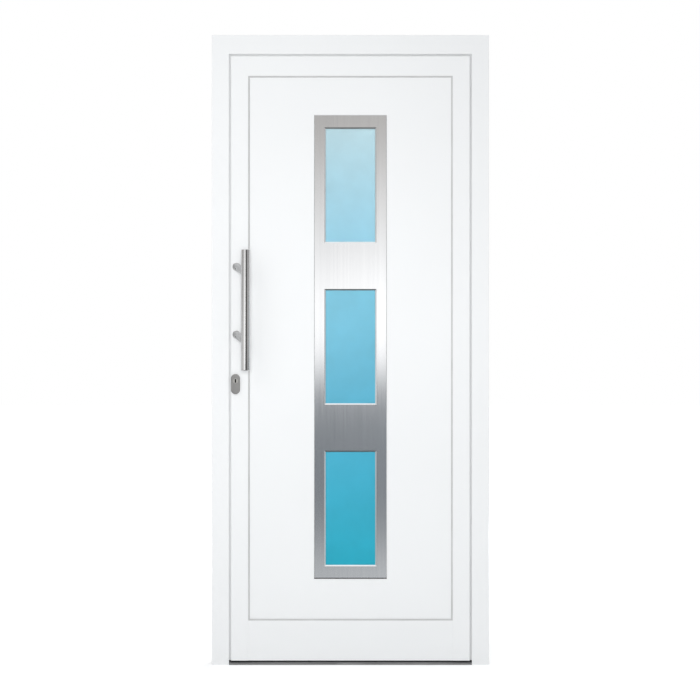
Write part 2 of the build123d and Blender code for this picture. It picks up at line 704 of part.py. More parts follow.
def bevelled_plate(plane, outline, holes):
    """A flat fitting, bevelled round its face, with a round hole for each (height, radius)."""
    solid = extrude(plane * outline, FITTING_THICKNESS)
    face = plane.offset(FITTING_THICKNESS)
    rim = [edge for edge in solid.edges() if abs(face.to_local_coords(edge.center()).Z) < SAME]
    solid = chamfer(rim, FITTING_BEVEL)
    return solid - [
        extrude(plane * Pos(0, height) * Circle(radius), FITTING_THICKNESS) for height, radius in holes
    ]


def lock_rosette():
    """The oval rosette outside, round the end of the lock cylinder, whose plug shows in its hole."""
    oval = Pos(0, -ROSETTE_DROP) * SlotOverall(ROSETTE_LENGTH, FITTING_WIDTH, rotation=90)
    holes = [(0, PLUG_RADIUS + LOCK_FIT)]
    return bevelled_plate(facing_out(LOCK_X, 0, PLUG_HEIGHT), oval, holes)


def lever_plate():
    """The long narrow plate inside, round the lever's neck and the end of the lock cylinder."""
    middle = LEVER_PLATE_RISE - LEVER_PLATE_LENGTH / 2
    oval = Pos(0, middle) * SlotOverall(LEVER_PLATE_LENGTH, FITTING_WIDTH, rotation=90)
    holes = [(0, LEVER_RADIUS + LOCK_FIT), (-LEVER_RISE, PLUG_RADIUS + LOCK_FIT)]
    return bevelled_plate(facing_in(LOCK_X, FRAME_DEPTH, LEVER_HEIGHT), oval, holes)


def lever():
    """The mitred lever, from the stile out through its plate and along towards the hinges."""
    root = Vector(LOCK_X, at_depth(FRAME_DEPTH), LEVER_HEIGHT)
    corner = root + (0, LEVER_STANDOFF, 0)
    path = Polyline(root, corner, corner + (LEVER_LENGTH, 0, 0))
    section = Plane(root, z_dir=(0, 1, 0)) * Circle(LEVER_RADIUS)
    solid = sweep(section, path=path, transition=Transition.RIGHT)
    tip = solid.faces().sort_by(Axis.X)[-1]
    return chamfer(tip.edges(), LEVER_END_BEVEL)


def lock_bolts():
    """The ends of the latch and the bolts, drawn back until they are flush with the faceplate."""
    return Part() + [bolt_block(-FLANGE_X, GROOVE_DEPTH, *span, 0) for span in bolt_spans()]


# Hinges, about an axis inside the room and over the gap


def hinge_part(side, low, knuckles):
    """A hinge plate on the frame (side 1) or the leaf (side -1), with an arm for each (low, high) knuckle."""
    seat, top = -HINGE_AXIS_STANDOFF, HINGE_PLATE_THICKNESS - HINGE_AXIS_STANDOFF
    base = Plane((HINGE_X, at_depth(FRAME_DEPTH) + HINGE_AXIS_STANDOFF, low))
    near, far = sorted((side * HINGE_PLATE_NEAR, side * HINGE_PLATE_FAR))
    plate = extrude(base * rectangle((near, seat), (far, top)), HINGE_LENGTH)
    room_face = plate.faces().sort_by(Axis.Y)[-1]
    solid = chamfer(room_face.edges(), HINGE_PLATE_BEVEL)
    inner, reach = HINGE_ARM_WIDTH, HINGE_ARM_REACH
    arm_points = [(0, -inner), (inner, 0), (reach, top), (reach, seat), (HINGE_PLATE_NEAR, seat)]
    arm = make_face(Polyline(*[(side * x, y) for x, y in arm_points], close=True))
    for bottom, height in [(start, end - start) for start, end in knuckles]:
        level = base.offset(bottom)
        solid += extrude(level * (arm + Circle(KNUCKLE_RADIUS)), height)
    return solid


def hinge_spans():
    """The low and high ends of the bottom, middle and top knuckles, from the foot of a hinge."""
    end = (HINGE_LENGTH - MIDDLE_KNUCKLE) / 2
    return (0, end - KNUCKLE_GAP), (end, HINGE_LENGTH - end), (HINGE_LENGTH - end + KNUCKLE_GAP, HINGE_LENGTH)


def pin_hole(low, radius, start, end):
    """A cylinder on a hinge's axis, between two heights above the hinge's foot."""
    base = Plane((HINGE_X, at_depth(FRAME_DEPTH) + HINGE_AXIS_STANDOFF, low + start))
    return extrude(base * Circle(radius), end - start)


def hinge_on_frame(low):
    """The frame's plate with the middle knuckle, and the pin that stands out of it both ways."""
    pin = pin_hole(low, PIN_RADIUS, KNUCKLE_CAP, HINGE_LENGTH - KNUCKLE_CAP)
    return hinge_part(1, low, hinge_spans()[1:2]) + pin


def hinge_on_leaf(low):
    """The leaf's plate with the two outer knuckles, each bored for the pin and closed at its far end."""
    slack = KNUCKLE_CAP - PIN_FIT
    bore = pin_hole(low, PIN_RADIUS + PIN_FIT, slack, HINGE_LENGTH - slack)
    return hinge_part(-1, low, hinge_spans()[0::2]) - bore


def all_nodes():
    """Every piece of the door by its name."""
    nodes = {
        "lock_jamb": jamb(),
        "hinge_jamb": other_side(jamb()),
        "head": head(),
        "frame_thermal_breaks": frame_thermal_breaks(),
        "frame_seal": frame_seal(),
        "threshold_nose": threshold_nose(),
        "threshold_core": threshold_core(),
        "threshold_heel": threshold_heel(),
        "strike_plate": lock_plate(-REBATE_X - GROOVE_DEPTH, STRIKE_SLACK),
        "lock_stile": lock_stile(),
        "hinge_stile": other_side(stile()),
        "top_rail": top_rail(),
        "bottom_rail": bottom_rail(),
        "leaf_thermal_breaks": leaf_thermal_breaks(),
        "bottom_seal": bottom_seal(),
        "panel_seal": panel_seal(),
        "panel_outer_skin": outer_skin(),
        "panel_core": panel_core(),
        "panel_inner_skin": inner_skin(),
        "steel_trim_outer": outer_trim(),
        "steel_trim_inner": inner_trim(),
        "glass_rear_panes": rear_panes(),
        "glass_spacers": spacers(),
        "bead_lock_side": side_bead(),
        "bead_hinge_side": other_side(side_bead()),
        "bead_top": top_bead(),
        "bead_bottom": bottom_bead(),
        "pull_bar": pull_bar(),
        "pull_bar_supports": bar_supports(),
        "lock_cylinder": lock_cylinder(),
        "lock_rosette": lock_rosette(),
        "lever_plate": lever_plate(),
        "lever_handle": lever(),
        "lock_faceplate": lock_plate(-FLANGE_X, BOLT_FIT),
        "lock_bolts": lock_bolts(),
    }
    for name, middle in zip(WINDOW_NAMES, WINDOW_MIDDLES):
        nodes[f"glass_outer_{name}"] = pane(middle, GLASS_FRONT)
    for name, low in zip(HINGE_NAMES, HINGE_FEET):
        nodes[f"hinge_on_frame_{name}"] = hinge_on_frame(low)
        nodes[f"hinge_on_leaf_{name}"] = hinge_on_leaf(low)
    return nodes


os.makedirs("parts", exist_ok=True)
for node_name, shape in all_nodes().items():
    export_step(shape, f"parts/{node_name}.step")
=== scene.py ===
"""The look of the aluminium front door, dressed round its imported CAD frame.

X runs along the width from the lock side to the hinge side, Y from outside to inside, and Z up, in metres.
The file follows the door as it is put together: frame, threshold, leaf, panel, steel strip, glass, fittings.
"""

import json
import math

import bpy
import numpy as np
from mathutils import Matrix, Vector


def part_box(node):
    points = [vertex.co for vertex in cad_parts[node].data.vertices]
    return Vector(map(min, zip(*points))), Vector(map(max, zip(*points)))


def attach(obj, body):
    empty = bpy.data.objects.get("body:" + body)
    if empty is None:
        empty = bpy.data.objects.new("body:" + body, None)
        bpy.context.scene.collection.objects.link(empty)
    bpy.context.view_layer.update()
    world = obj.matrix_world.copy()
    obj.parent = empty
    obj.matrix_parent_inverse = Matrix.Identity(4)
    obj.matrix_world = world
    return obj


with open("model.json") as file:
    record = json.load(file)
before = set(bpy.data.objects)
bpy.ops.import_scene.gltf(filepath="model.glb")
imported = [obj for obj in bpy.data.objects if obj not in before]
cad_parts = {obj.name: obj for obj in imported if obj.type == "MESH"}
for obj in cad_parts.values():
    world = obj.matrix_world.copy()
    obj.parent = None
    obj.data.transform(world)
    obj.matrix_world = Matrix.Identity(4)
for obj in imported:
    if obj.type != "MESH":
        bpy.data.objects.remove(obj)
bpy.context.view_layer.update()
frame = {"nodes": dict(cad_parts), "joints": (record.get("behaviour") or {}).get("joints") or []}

# Jambs and head
# Three lengths of hollow aluminium profile, mitred and cleated together at the corners.
# They are powder coated white: a satin skin, a touch uneven in tone, with the fine peel of melted powder.
NOISE_LOW = 0.3
NOISE_HIGH = 0.7
PEEL_BUMP = 0.25


def add_node(tree, kind, inputs=None, **settings):
    """One shader node: its settings, then its inputs, each a plain value or another node's output."""
    made = tree.nodes.new(kind)
    for key, value in settings.items():
        setattr(made, key, value)
    for key, value in (inputs or {}).items():
        if isinstance(value, bpy.types.NodeSocket):
            tree.links.new(value, made.inputs[key])
        else:
            made.inputs[key].default_value = value
    return made


def new_group(name, inputs, outputs):
    """An empty shader group with named sockets: its tree, its inner inputs and its inner outputs."""
    tree = bpy.data.node_groups.new(name, "ShaderNodeTree")
    for socket, kind in inputs.items():
        tree.interface.new_socket(name=socket, in_out="INPUT", socket_type=kind)
    for socket, kind in outputs.items():
        tree.interface.new_socket(name=socket, in_out="OUTPUT", socket_type=kind)
    inside = tree.nodes.new("NodeGroupInput").outputs
    outside = tree.nodes.new("NodeGroupOutput").inputs
    return tree, inside, outside


def new_finish(name):
    """A new material, its node tree and its Principled shader."""
    material = bpy.data.materials.new(name)
    material.use_nodes = True
    return material, material.node_tree, material.node_tree.nodes["Principled BSDF"]


def object_position(tree, scale=(1, 1, 1)):
    """Object coordinates, stretched by a Mapping node."""
    position = add_node(tree, "ShaderNodeTexCoord").outputs["Object"]
    return add_node(tree, "ShaderNodeMapping", {"Vector": position, "Scale": scale}).outputs["Vector"]


def map_range(tree, value, low, high, first=0.0, last=1.0):
    """A value between low and high, carried over to first and last, and held there beyond them."""
    inputs = {"Value": value, "From Min": low, "From Max": high, "To Min": first, "To Max": last}
    return add_node(tree, "ShaderNodeMapRange", inputs).outputs["Result"]


def ramp(tree, factor, stops):
    """A colour ramp over a factor, from (place, colour) stops."""
    made = add_node(tree, "ShaderNodeValToRGB", {"Fac": factor})
    band = made.color_ramp
    while len(band.elements) < len(stops):
        band.elements.new(1.0)
    for element, (place, colour) in zip(band.elements, stops):
        element.position = place
        element.color = (*colour, 1.0)
    return made.outputs["Color"]


def add_bump(tree, shader, height, strength, distance):
    """Leads a height to the shader's normal through a Bump node."""
    bump = add_node(tree, "ShaderNodeBump", {"Height": height, "Strength": strength, "Distance": distance})
    tree.links.new(bump.outputs["Normal"], shader.inputs["Normal"])


def dress(material, *names):
    """Gives CAD nodes a finish in place of their plain one."""
    for name in names:
        materials = frame["nodes"][name].data.materials
        materials.clear()
        materials.append(material)


def peel_group():
    """Powder coat: a broad drift in tone, patches of more and less gloss, and a fine peel as height."""
    tree, inside, outside = new_group(
        "Powder peel",
        {"Position": "NodeSocketVector", "Peel scale": "NodeSocketFloat"},
        {"Drift": "NodeSocketFloat", "Gloss patch": "NodeSocketFloat", "Peel": "NodeSocketFloat"},
    )
    position = inside["Position"]
    drift = add_node(tree, "ShaderNodeTexNoise", {"Vector": position, "Scale": 2.3, "Detail": 2.0})
    patch = add_node(tree, "ShaderNodeTexNoise", {"Vector": position, "Scale": 38.0, "Detail": 3.0})
    peel = add_node(
        tree,
        "ShaderNodeTexNoise",
        {"Vector": position, "Scale": inside["Peel scale"], "Detail": 2.0, "Roughness": 0.45},
    )
    for name, source in (("Drift", drift), ("Gloss patch", patch), ("Peel", peel)):
        tree.links.new(source.outputs["Fac"], outside[name])
    return tree


POWDER_PEEL = peel_group()


def powder_coat(name, light, dark, gloss, dull, peel_scale, peel_depth):
    """A powder coat between two near whites and two roughnesses, with a peel of a given fineness."""
    material, tree, shader = new_finish(name)
    peel = add_node(tree, "ShaderNodeGroup", node_tree=POWDER_PEEL)
    tree.links.new(object_position(tree), peel.inputs["Position"])
    peel.inputs["Peel scale"].default_value = peel_scale
    colour = ramp(tree, peel.outputs["Drift"], [(NOISE_LOW, dark), (NOISE_HIGH, light)])
    tree.links.new(colour, shader.inputs["Base Color"])
    roughness = map_range(tree, peel.outputs["Gloss patch"], NOISE_LOW, NOISE_HIGH, gloss, dull)
    tree.links.new(roughness, shader.inputs["Roughness"])
    add_bump(tree, shader, peel.outputs["Peel"], PEEL_BUMP, peel_depth)
    return material


WHITE_COAT = powder_coat(
    "white_coat",
    light=(0.890, 0.900, 0.905),
    dark=(0.878, 0.888, 0.893),
    gloss=0.30,
    dull=0.33,
    peel_scale=950.0,
    peel_depth=0.00005,
)
dress(WHITE_COAT, "lock_jamb", "hinge_jamb", "head")

# Thermal bars of the frame and the leaf, and the drop seal
# Black polyamide bars, glass filled, are rolled into both shells and keep the cold shell off the warm one.
# The drop seal under the leaf is grey rubber, pushed into its groove by hand.
GRAIN_BUMP = 0.4


def matt_grain_group():
    """Moulded and rubbed matt stuff: a fine grain as height and a slow dusty bloom."""
    tree, inside, outside = new_group(
        "Matt grain",
        {"Position": "NodeSocketVector", "Grain scale": "NodeSocketFloat"},
        {"Grain": "NodeSocketFloat", "Bloom": "NodeSocketFloat"},
    )
    position = inside["Position"]
    fine = {"Vector": position, "Scale": inside["Grain scale"], "Detail": 3.0}
    grain = add_node(tree, "ShaderNodeTexNoise", fine)
    bloom = add_node(tree, "ShaderNodeTexNoise", {"Vector": position, "Scale": 14.0, "Detail": 4.0})
    tree.links.new(grain.outputs["Fac"], outside["Grain"])
    tree.links.new(bloom.outputs["Fac"], outside["Bloom"])
    return tree


MATT_GRAIN = matt_grain_group()


def matt_finish(name, light, dark, roughness, grain_scale, grain_depth):
    """A matt, grainy finish whose colour drifts between two tones."""
    material, tree, shader = new_finish(name)
    grain = add_node(tree, "ShaderNodeGroup", node_tree=MATT_GRAIN)
    tree.links.new(object_position(tree), grain.inputs["Position"])
    grain.inputs["Grain scale"].default_value = grain_scale
    colour = ramp(tree, grain.outputs["Bloom"], [(NOISE_LOW, dark), (NOISE_HIGH, light)])
    tree.links.new(colour, shader.inputs["Base Color"])
    shader.inputs["Roughness"].default_value = roughness
    add_bump(tree, shader, grain.outputs["Grain"], GRAIN_BUMP, grain_depth)
    return material


POLYAMIDE = matt_finish(
    "polyamide",
    light=(0.060, 0.060, 0.062),
    dark=(0.040, 0.040, 0.041),
    roughness=0.62,
    grain_scale=600.0,
    grain_depth=0.00008,
)
DROP_SEAL = matt_finish(
    "drop_seal",
    light=(0.580, 0.580, 0.582),
    dark=(0.520, 0.520, 0.522),
    roughness=0.75,
    grain_scale=900.0,
    grain_depth=0.00005,
)
dress(POLYAMIDE, "frame_thermal_breaks", "leaf_thermal_breaks")
dress(DROP_SEAL, "bottom_seal")

# Threshold
# Two lengths of dark anodised aluminium with a plastic core between them, screwed down between the jambs.
# The die leaves faint lines along the length.
BAND_STRETCH = (0.11, 0.11, 0.11)
BAND_SHARE = 0.4
METAL_LOW = 0.36
METAL_HIGH = 0.64
LINE_BUMP = 0.3


def multiplied(tree, first, second):
    """Two vectors or colours, multiplied part by part."""
    product = add_node(tree, "ShaderNodeVectorMath", {0: first, 1: second}, operation="MULTIPLY")
    return product.outputs["Vector"]


def brushed_grain_group():
    """Metal worked one way: hairlines and wider bands, long along the work in stretched coordinates."""
    tree, inside, outside = new_group(
        "Brushed grain",
        {"Stretched position": "NodeSocketVector"},
        {"Hairline": "NodeSocketFloat", "Band": "NodeSocketFloat"},
    )
    position = inside["Stretched position"]
    fine = {"Vector": position, "Scale": 1.0, "Detail": 5.0, "Roughness": 0.62}
    hairline = add_node(tree, "ShaderNodeTexNoise", fine)
    coarse = {"Vector": multiplied(tree, position, BAND_STRETCH), "Scale": 1.0, "Detail": 2.0}
    band = add_node(tree, "ShaderNodeTexNoise", coarse)
    tree.links.new(hairline.outputs["Fac"], outside["Hairline"])
    tree.links.new(band.outputs["Fac"], outside["Band"])
    return tree


BRUSHED_GRAIN = brushed_grain_group()


def worked_metal(name, light, dark, smooth, rough, stretch, line_depth, anisotropy=0.0, turn=0.0):
    """A metal finish with hairlines along one direction, which the stretch of its coordinates sets."""
    material, tree, shader = new_finish(name)
    grain = add_node(tree, "ShaderNodeGroup", node_tree=BRUSHED_GRAIN)
    tree.links.new(object_position(tree, stretch), grain.inputs["Stretched position"])
    hairline = grain.outputs["Hairline"]
    both = add_node(tree, "ShaderNodeMix", {"Factor": BAND_SHARE, "A": hairline, "B": grain.outputs["Band"]})
    colour = ramp(tree, both.outputs["Result"], [(METAL_LOW, dark), (METAL_HIGH, light)])
    tree.links.new(colour, shader.inputs["Base Color"])
    roughness = map_range(tree, hairline, NOISE_LOW, NOISE_HIGH, smooth, rough)
    tree.links.new(roughness, shader.inputs["Roughness"])
    add_bump(tree, shader, hairline, LINE_BUMP, line_depth)
    shader.inputs["Metallic"].default_value = 1.0
    shader.inputs["Anisotropic"].default_value = anisotropy
    shader.inputs["Anisotropic Rotation"].default_value = turn
    return material


DARK_ALUMINIUM = worked_metal(
    "dark_aluminium",
    light=(0.320, 0.322, 0.325),
    dark=(0.272, 0.274, 0.277),
    smooth=0.38,
    rough=0.50,
    stretch=(3.0, 900.0, 900.0),
    line_depth=0.00003,
)
dress(DARK_ALUMINIUM, "threshold_nose", "threshold_heel")
dress(POLYAMIDE, "threshold_core")

# Strike plate on the frame and faceplate on the leaf
# Long strips of nickel plated steel in the groove between the shells, each held by countersunk socket screws.
# The plates are drawn satin along their length; the screws are turned and a little darker.
LOCK_STEEL = worked_metal(
    "lock_steel",
    light=(0.66, 0.65, 0.63),
    dark=(0.56, 0.55, 0.53),
    smooth=0.24,
    rough=0.36,
    stretch=(900.0, 900.0, 5.0),
    line_depth=0.00002,
)
SCREW_STEEL = worked_metal(
    "screw_steel",
    light=(0.58, 0.57, 0.56),
    dark=(0.46, 0.45, 0.44),
    smooth=0.22,
    rough=0.34,
    stretch=(700.0, 700.0, 700.0),
    line_depth=0.00001,
)
dress(LOCK_STEEL, "strike_plate", "lock_faceplate", "lock_bolts")

# A screw's radius and proud height are in metres, and its other sizes are shares of radius, rise or depth.
SHARP_DEGREES = 35
NEARLY_UPRIGHT = 0.9
SCREW_SIDES = 48
SCREW_PROUD = 0.0002
SCREW_DEPTH = 0.5
SCREW_HUB = 0.02
SCREW_RIM_RISE = 0.55
SCREW_CROWN = 0.9
SOCKET_HALF_WIDTH = 0.46
SOCKET_MOUTH = 1.08
SOCKET_EDGE_RISE = 0.7
SOCKET_FLOOR = 1.1
LOCK_SCREW_RADIUS = 0.0042
LOCK_SCREW_SHARES = (0.016, 0.22, 0.38, 0.59, 0.78, 0.984)


def new_piece(name, points, faces, material, body, slot):
    """A mesh object at the origin from points and faces, smooth but for sharp edges, riding on a body."""
    mesh = bpy.data.meshes.new(name)
    mesh.from_pydata(points.reshape(-1, 3).tolist(), [], faces)
    mesh.polygons.foreach_set("use_smooth", np.ones(len(mesh.polygons), dtype=bool))
    mesh.set_sharp_from_angle(angle=math.radians(SHARP_DEGREES))
    mesh.materials.append(material)
    mesh.update()
    piece = bpy.data.objects.new(name, mesh)
    bpy.context.scene.collection.objects.link(piece)
    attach(piece, body)


def ring_faces(rings, sides, closed):
    """Quads between neighbouring rings of points, and from the last ring to the first if closed."""
    steps = rings if closed else rings - 1
    ring, side = np.meshgrid(np.arange(steps), np.arange(sides), indexing="ij")
    after, beside = (ring + 1) % rings, (side + 1) % sides
    corners = (ring * sides + side, ring * sides + beside, after * sides + beside, after * sides + side)
    return np.stack(corners, axis=-1).reshape(-1, 4).tolist()


def socket_screw(centre, outward, head_radius):
    """Points and faces of a screw head with a hexagon socket, on a centre and facing outward.

    Each ring lies at radius r(k, a) and height h(k) for angles a: the rim, the bevelled crown, the mouth and
    the floor of the socket. Socket rings follow the hexagon r = half width / cos(a from the nearest flat).
    """
    angle = np.arange(SCREW_SIDES) * 2 * math.pi / SCREW_SIDES
    sixth = math.pi / 3
    socket = SOCKET_HALF_WIDTH * head_radius / np.cos((angle + sixth / 2) % sixth - sixth / 2)
    rim = np.full_like(angle, head_radius)
    depth = SCREW_DEPTH * head_radius
    rings = (
        (SCREW_HUB * rim, -depth),
        (rim, -depth),
        (rim, SCREW_RIM_RISE * SCREW_PROUD),
        (SCREW_CROWN * rim, SCREW_PROUD),
        (SOCKET_MOUTH * socket, SCREW_PROUD),
        (socket, SOCKET_EDGE_RISE * SCREW_PROUD),
        (socket, SCREW_PROUD - depth),
        (SCREW_HUB * rim, SCREW_PROUD - SOCKET_FLOOR * depth),
    )
    radius = np.stack([ring for ring, _ in rings])
    height = np.array([rise for _, rise in rings])
    normal = np.asarray(outward, dtype=float)
    normal /= np.linalg.norm(normal)
    helper = (0.0, 0.0, 1.0) if abs(normal[2]) < NEARLY_UPRIGHT else (1.0, 0.0, 0.0)
    first = np.cross(helper, normal)
    first /= np.linalg.norm(first)
    second = np.cross(normal, first)
    spokes = np.cos(angle)[:, None] * first + np.sin(angle)[:, None] * second
    points = np.asarray(centre) + radius[:, :, None] * spokes + height[:, None, None] * normal
    faces = ring_faces(len(height), SCREW_SIDES, closed=False)
    last = (len(height) - 1) * SCREW_SIDES
    bottom = list(range(SCREW_SIDES - 1, -1, -1))
    socket_floor = list(range(last, last + SCREW_SIDES))
    return points.reshape(-1, 3), [*faces, bottom, socket_floor]


def joined(shapes):
    """Several (points, faces) shapes as one."""
    starts = np.cumsum([0, *(len(points) for points, _ in shapes)])
    faces = [
        [int(start) + corner for corner in face]
        for start, (_, part) in zip(starts, shapes)
        for face in part
    ]
    return np.concatenate([points for points, _ in shapes]), faces


def screw_column(name, node, x, y, outward, radius, shares, body):
    """Screws one above the other on a node, at shares of its height, as one piece."""
    low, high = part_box(node)
    heights = [low.z + share * (high.z - low.z) for share in shares]
    screws = [socket_screw((x, y, height), outward, radius) for height in heights]
    new_piece(name, *joined(screws), SCREW_STEEL, body, "lock_steel")


def plate_screws(name, plate, side, body):
    """Countersunk screws along a lock plate, on the face that looks towards an end of X."""
    low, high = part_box(plate)
    x = high.x if side > 0 else low.x
    middle = (low.y + high.y) / 2
    screw_column(name, plate, x, middle, (side, 0, 0), LOCK_SCREW_RADIUS, LOCK_SCREW_SHARES, body)


plate_screws("strike_plate_screws", "strike_plate", 1, "frame")
plate_screws("lock_faceplate_screws", "lock_faceplate", -1, "leaf")

# Stiles and rails of the leaf
# The same hollow profiles as the frame's, with a flange behind the stop and a lip over the panel.
# They leave the coating line together with the frame, so they share its powder.
dress(WHITE_COAT, "lock_stile", "hinge_stile", "top_rail", "bottom_rail")

# Panel, its seal and the stop seal
# A sandwich of two aluminium sheets on stiff foam. The sheets are coated flat, so they have a finer peel.
# A light grey rubber seal lies between the lips and the sheet, and shows as a thin line round the panel.
WHITE_SHEET = powder_coat(
    "white_sheet",
    light=(0.895, 0.905, 0.910),
    dark=(0.884, 0.894, 0.899),
    gloss=0.25,
    dull=0.27,
    peel_scale=1400.0,
    peel_depth=0.00003,
)
GREY_RUBBER = matt_finish(
    "grey_rubber",
    light=(0.60, 0.60, 0.60),
    dark=(0.52, 0.52, 0.52),
    roughness=0.65,
    grain_scale=900.0,
    grain_depth=0.00005,
)
FOAM = matt_finish(
    "foam",
    light=(0.80, 0.74, 0.56),
    dark=(0.70, 0.63, 0.45),
    roughness=0.9,
    grain_scale=420.0,
    grain_depth=0.0004,
)
dress(WHITE_SHEET, "panel_outer_skin", "panel_inner_skin")
dress(GREY_RUBBER, "panel_seal", "frame_seal")
dress(FOAM, "panel_core")

# Steel strip round the windows, outside and inside
# One pressed stainless sheet on each face, brushed up and down before it was bent at the windows.
# It is bonded flat to the panel, and its short returns reach back to the glass.
STRIP_STEEL = worked_metal(
    "strip_steel",
    light=(0.70, 0.705, 0.712),
    dark=(0.65, 0.655, 0.665),
    smooth=0.14,
    rough=0.21,
    stretch=(1100.0, 1100.0, 4.0),
    line_depth=0.00001,
    anisotropy=0.5,
)
RETURN_ROUGHNESS = 0.36
RETURN_COLOUR = (0.97, 0.97, 0.97, 1.0)
FACE_SKIN = 0.0002
BEVEL_MARGIN = 0.01
# Painted shade: steel whose faces look downward, such as the windows' heads, is darkened by colour.
PAINTED_UNDERSIDE_SHADE = (0.30, 0.30, 0.30, 1.0)
UNDERSIDE_FROM = -0.3
UNDERSIDE_FULL = -0.7
# Painted shadow: the strip's lowest few millimetres are coloured near black, as a shadow line under its foot.
PAINTED_FOOT_SHADOW = (0.05, 0.05, 0.05, 1.0)
PAINTED_FOOT_SHADOW_HEIGHT = 0.0034


def calculate(tree, operation, *values):
    """One Math node over plain values or other nodes' outputs."""
    inputs = dict(enumerate(values))
    return add_node(tree, "ShaderNodeMath", inputs, operation=operation).outputs["Value"]


def inside_box(tree, low, high):
    """A mask that is 1 inside a box of the object's own coordinates."""
    place = add_node(tree, "ShaderNodeSeparateXYZ", {"Vector": object_position(tree)}).outputs
    mask = 1.0
    for axis, first, last in zip("XYZ", low, high):
        inside = calculate(tree, "COMPARE", place[axis], (first + last) / 2, (last - first) / 2)
        mask = calculate(tree, "MULTIPLY", mask, inside)
    return mask


def mixed_colour(tree, factor, first, second):
    """One colour where a factor is 0 and another where it is 1."""
    inputs = {"Factor": factor, 6: first, 7: second}
    return add_node(tree, "ShaderNodeMix", inputs, data_type="RGBA").outputs[2]


def tinted(tree, shader, mask, colour):
    """Gives the shader a plain colour where a mask is 1, and keeps its own elsewhere."""
    own = shader.inputs["Base Color"].links[0].from_socket
    tree.links.new(mixed_colour(tree, mask, own, colour), shader.inputs["Base Color"])


def soften_returns():
    """Behind the strip's two faces, the bends and returns at the windows are paler and rougher."""
    tree = STRIP_STEEL.node_tree
    shader = tree.nodes["Principled BSDF"]
    (left, front, bottom), (right, _, top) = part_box("steel_trim_outer")
    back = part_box("steel_trim_inner")[1].y
    mask = inside_box(
        tree,
        (left + BEVEL_MARGIN, front + FACE_SKIN, bottom + BEVEL_MARGIN),
        (right - BEVEL_MARGIN, back - FACE_SKIN, top - BEVEL_MARGIN),
    )
    brushed = shader.inputs["Roughness"].links[0].from_socket
    mixed = add_node(tree, "ShaderNodeMix", {"Factor": mask, "A": brushed, "B": RETURN_ROUGHNESS})
    tree.links.new(mixed.outputs["Result"], shader.inputs["Roughness"])
    tinted(tree, shader, mask, RETURN_COLOUR)


def shade_undersides_painted():
    """Painted shade on what faces down, such as the windows' heads, and a painted shadow line along the foot.
    """
    tree = STRIP_STEEL.node_tree
    shader = tree.nodes["Principled BSDF"]
    normal = add_node(tree, "ShaderNodeNewGeometry").outputs["True Normal"]
    upward = add_node(tree, "ShaderNodeSeparateXYZ", {"Vector": normal}).outputs["Z"]
    underside = map_range(tree, upward, UNDERSIDE_FROM, UNDERSIDE_FULL)
    tinted(tree, shader, underside, PAINTED_UNDERSIDE_SHADE)
    (left, front, bottom), (right, _, _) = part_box("steel_trim_outer")
    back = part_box("steel_trim_inner")[1].y
    low = (left - FACE_SKIN, front - FACE_SKIN, bottom - FACE_SKIN)
    high = (right + FACE_SKIN, back + FACE_SKIN, bottom + PAINTED_FOOT_SHADOW_HEIGHT)
    tinted(tree, shader, inside_box(tree, low, high), PAINTED_FOOT_SHADOW)


soften_returns()
# Painted shade on the strip's undersides, and a painted shadow line along its foot.
shade_undersides_painted()
dress(STRIP_STEEL, "steel_trim_outer", "steel_trim_inner")

# Insulating glass
# Three units, one in each window. The outer pane is satin glass with a blue tint that deepens downwards; its
# paling upwards is a painted reflection of the sky.
# The middle and inner panes are clear float glass, held apart by bright aluminium spacers.
# The blue is the glass's own tint; its paling with height is a painted reflection of the sky.
BLUE_TINT_AND_PAINTED_SKY = (
    (0.300, (0.010, 0.470, 0.630)),
    (0.715, (0.058, 0.505, 0.712)),
    (0.870, (0.086, 0.490, 0.686)),
    (1.250, (0.176, 0.576, 0.752)),
    (1.410, (0.306, 0.655, 0.816)),
    (1.790, (0.562, 0.775, 0.845)),
)
TINT_LOW = 0.25
TINT_HIGH = 1.85
CLOUD_DARK = 0.96
CLOUD_LIGHT = 1.04
GREEN_TINTS = ((NOISE_LOW, (0.90, 0.965, 0.955)), (NOISE_HIGH, (0.93, 0.975, 0.968)))
GLASS_IOR = 1.5


def satin_glass():
    """Satin glass whose blue tint pales with height as a painted sky reflection, with a fine etched grain and
    a little cloud.
    """
    material, tree, shader = new_finish("blue_glass")
    position = object_position(tree)
    height = add_node(tree, "ShaderNodeSeparateXYZ", {"Vector": position}).outputs["Z"]
    share = map_range(tree, height, TINT_LOW, TINT_HIGH)
    stops = [((place - TINT_LOW) / (TINT_HIGH - TINT_LOW), colour) for place, colour in BLUE_TINT_AND_PAINTED_SKY]
    tint = ramp(tree, share, stops)
    grain = add_node(tree, "ShaderNodeGroup", node_tree=MATT_GRAIN)
    tree.links.new(position, grain.inputs["Position"])
    grain.inputs["Grain scale"].default_value = 2600.0
    cloud = map_range(tree, grain.outputs["Bloom"], NOISE_LOW, NOISE_HIGH, CLOUD_DARK, CLOUD_LIGHT)
    clouded = add_node(tree, "ShaderNodeVectorMath", {0: tint, "Scale": cloud}, operation="SCALE")
    tree.links.new(clouded.outputs["Vector"], shader.inputs["Base Color"])
    add_bump(tree, shader, grain.outputs["Grain"], strength=0.15, distance=0.00003)
    shader.inputs["Roughness"].default_value = 0.32
    shader.inputs["Specular IOR Level"].default_value = 0.35
    shader.inputs["Transmission Weight"].default_value = 0.25
    shader.inputs["IOR"].default_value = GLASS_IOR
    return material


def clear_glass():
    """Float glass, faintly green, with a slow waviness."""
    material, tree, shader = new_finish("clear_glass")
    slow = {"Vector": object_position(tree), "Scale": 6.0, "Detail": 1.0}
    waves = add_node(tree, "ShaderNodeTexNoise", slow).outputs["Fac"]
    tree.links.new(ramp(tree, waves, GREEN_TINTS), shader.inputs["Base Color"])
    add_bump(tree, shader, waves, strength=0.05, distance=0.0005)
    shader.inputs["Roughness"].default_value = 0.02
    shader.inputs["Transmission Weight"].default_value = 0.95
    shader.inputs["IOR"].default_value = GLASS_IOR
    return material


